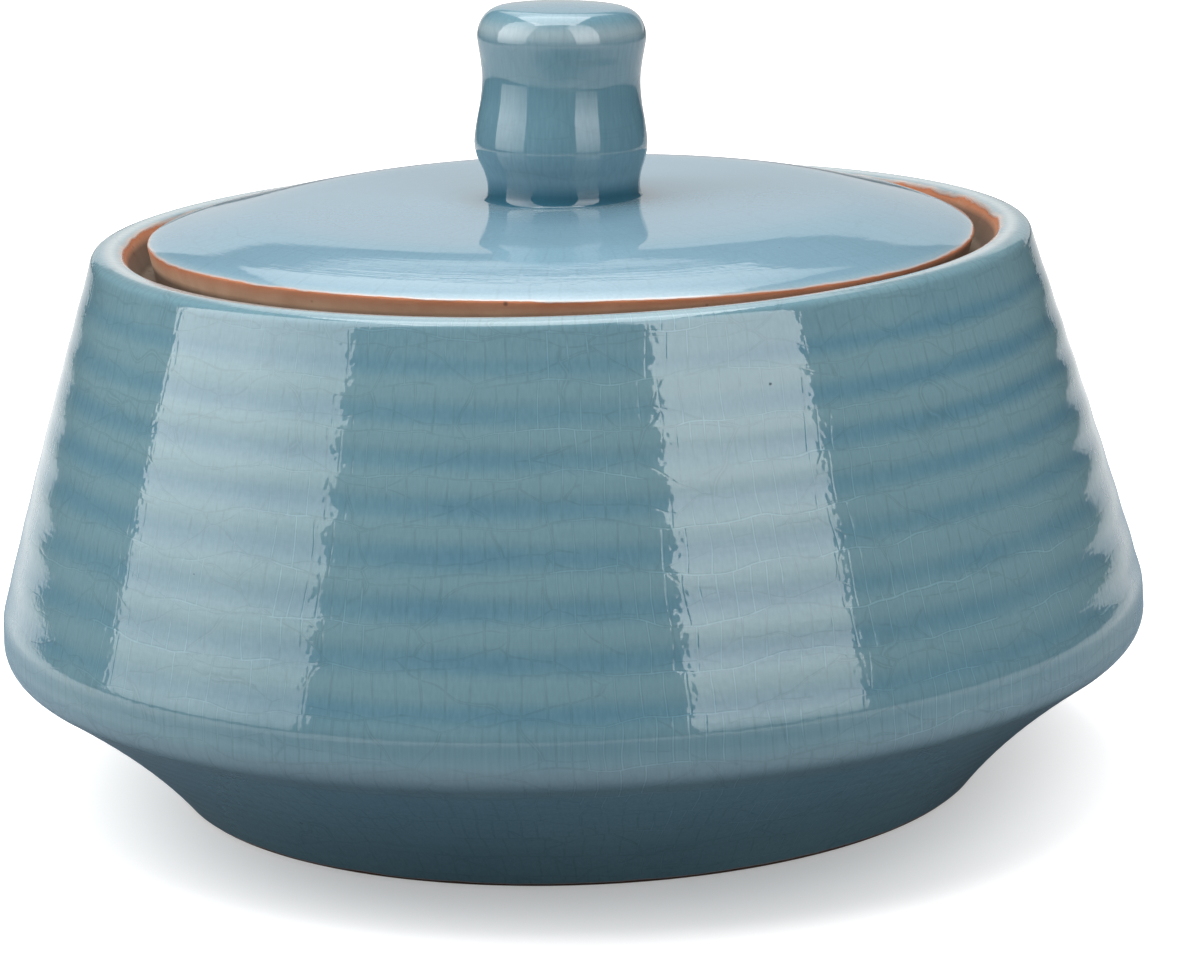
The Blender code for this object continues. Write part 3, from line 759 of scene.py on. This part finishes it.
def makeStudio():
    for name in ("leftSoftbox", "rightSoftbox"):
        start, end, low, tall, lean, radiance, shares = studio[name]
        start, end = Vector((*start, low)) * mm, Vector((*end, low)) * mm
        across = end - start
        inwards = across.cross(Vector((0, 0, 1))).normalized()
        if inwards.dot(start) > 0:
            inwards = -inwards
        up = Vector((0, 0, math.cos(math.radians(lean)))) + inwards * math.sin(math.radians(lean))
        up = up * tall * mm
        addPanel(name, (start + end + up) / 2, across, up, radiance, softFoot, shares)
    for name, cut in (("skyPanel", archedSky), ("ceilingPanel", evenGlow)):
        start, end, deep, high, radiance, shares = studio[name]
        start, end = Vector((*start, high)) * mm, Vector((*end, high)) * mm
        across = end - start
        far = Vector((0, 0, 1)).cross(across).normalized() * deep * mm
        addPanel(name, (start + end + far) / 2, across, far, radiance, cut, shares)

    world = bpy.data.worlds.new("paleStudio")
    bpy.context.scene.world = world
    world.use_nodes = True
    tree = world.node_tree
    tree.nodes.clear()
    # The backdrop fills the directions within 40 degrees of straight behind, below an arch of about 26
    # degrees that is highest a little to the right
    way = addNode(tree, "SeparateXYZ", {0: addNode(tree, "TexCoord").outputs["Generated"]})
    wideEnd, wideStart = studio["backdropHalf"]
    behind = addNode(tree, "MapRange", {"Value": way.outputs[1], "From Min": wideEnd,
                                        "From Max": wideStart})
    archStart, archEnd, archLean, archBow = studio["backdropArch"]
    bend = addNode(tree, "Math", {0: way.outputs[0], 1: way.outputs[0]}, operation="MULTIPLY")
    level = addNode(tree, "Math", {0: way.outputs[0], 1: archLean, 2: way.outputs[2]},
                    operation="MULTIPLY_ADD")
    level = addNode(tree, "Math", {0: bend, 1: archBow, 2: level}, operation="MULTIPLY_ADD")
    low = addNode(tree, "MapRange", {"Value": level, "From Min": archStart, "From Max": archEnd,
                                     "To Min": 1.0, "To Max": 0.0})
    glow = addNode(tree, "MapRange", {"Value": way.outputs[2], "From Min": 0.02, "From Max": 0.34,
                                      "To Min": studio["backdropLow"], "To Max": studio["backdropHigh"]})
    backdrop = addNode(tree, "Math", {0: behind, 1: low}, operation="MULTIPLY")
    room = addNode(tree, "Mix", {0: backdrop, 2: studio["dark"], 3: glow}, data_type="FLOAT")
    seen = addNode(tree, "LightPath").outputs["Is Camera Ray"]
    strength = addNode(tree, "Math", {0: room, 1: seen}, operation="MAXIMUM")
    background = addNode(tree, "Background", {"Color": (1, 1, 1, 1), "Strength": strength})
    addNode(tree, "OutputWorld", {"Surface": background})

    half = studio["floorSize"] * mm
    mesh = bpy.data.meshes.new("floor")
    corners = [(-half, -half, 0), (half, -half, 0), (half, half, 0), (-half, half, 0)]
    mesh.from_pydata(corners, [], [(0, 1, 2, 3)])
    floor = bpy.data.objects.new("floor", mesh)
    bpy.context.scene.collection.objects.link(floor)
    # Matt paper, near white: it keeps the shadow near the jar and glows plain white far away
    paper = bpy.data.materials.new("whitePaper")
    paper.use_nodes = True
    tree = paper.node_tree
    tree.nodes.clear()
    place = addNode(tree, "TexCoord").outputs["Object"]
    sideways = addNode(tree, "VectorMath", {0: place, 1: (studio["floorSideways"], 1.0, 1.0)},
                       operation="MULTIPLY")
    reach = addNode(tree, "VectorMath", {0: sideways}, operation="LENGTH").outputs["Value"]
    far = addNode(tree, "MapRange", {"Value": reach, "From Min": studio["nearFloor"] * mm,
                                     "From Max": studio["farFloor"] * mm}, interpolation_type="SMOOTHSTEP")
    seen = addNode(tree, "LightPath").outputs["Is Camera Ray"]
    glow = addNode(tree, "Math", {0: far, 1: 1 - studio["floorLift"], 2: studio["floorLift"]},
                   operation="MULTIPLY_ADD")
    glow = addNode(tree, "Math", {0: glow, 1: seen}, operation="MULTIPLY")
    wide = addNode(tree, "MapRange", {"Value": reach, "From Min": studio["bounceNear"] * mm,
                                      "From Max": studio["bounceFar"] * mm})
    pale = addNode(tree, "Math", {0: seen, 1: wide}, operation="MAXIMUM")
    tone = addNode(tree, "Mix", {0: pale, 6: linear(studio["bounceColour"]),
                                 7: linear(studio["floorColour"])}, data_type="RGBA")
    # Beyond the paper's sides the floor is dark, which the glaze mirrors
    side = addNode(tree, "Math", {0: addNode(tree, "SeparateXYZ", {0: place}).outputs[0]},
                   operation="ABSOLUTE")
    beyond = addNode(tree, "MapRange", {"Value": side, "From Min": studio["paperReach"] * mm,
                                        "From Max": (studio["paperReach"] + 5) * mm})
    hidden = addNode(tree, "Math", {0: 1.0, 1: seen}, operation="SUBTRACT")
    beyond = addNode(tree, "Math", {0: beyond, 1: hidden}, operation="MULTIPLY")
    tone = addNode(tree, "Mix", {0: beyond, 6: tone, 7: linear(studio["besidePaper"])}, data_type="RGBA")
    matt = addNode(tree, "BsdfDiffuse", {"Color": tone})
    white = addNode(tree, "Emission", {"Strength": glow})
    addNode(tree, "OutputMaterial", {"Surface": addNode(tree, "AddShader", {0: matt, 1: white})})
    mesh.materials.append(paper)


makeStudio()
print("studio made")

camera = {
    "lens": 121.7,
    "sensor": 36.0,
    "lookDown": 12.99,
    "roll": -1.904,
    "target": (3.955, 0, 37.52),
    "distance": 533.5,
}


def makeCamera():
    # Stands back from the target along its own view axis, then rolls about that axis
    data = bpy.data.cameras.new("camera")
    data.lens = camera["lens"]
    data.sensor_width = camera["sensor"]
    data.sensor_fit = "HORIZONTAL"
    data.clip_start = 0.02
    eye = bpy.data.objects.new("camera", data)
    turn = Matrix.Rotation(math.radians(90 - camera["lookDown"]), 4, "X")
    back = turn @ Vector((0, 0, camera["distance"] * mm))
    place = Matrix.Translation(Vector(camera["target"]) * mm + back)
    eye.matrix_world = place @ turn @ Matrix.Rotation(math.radians(camera["roll"]), 4, "Z")
    bpy.context.scene.collection.objects.link(eye)
    bpy.context.scene.camera = eye


makeCamera()
bpy.context.scene.view_settings.view_transform = "Standard"
print("camera made")
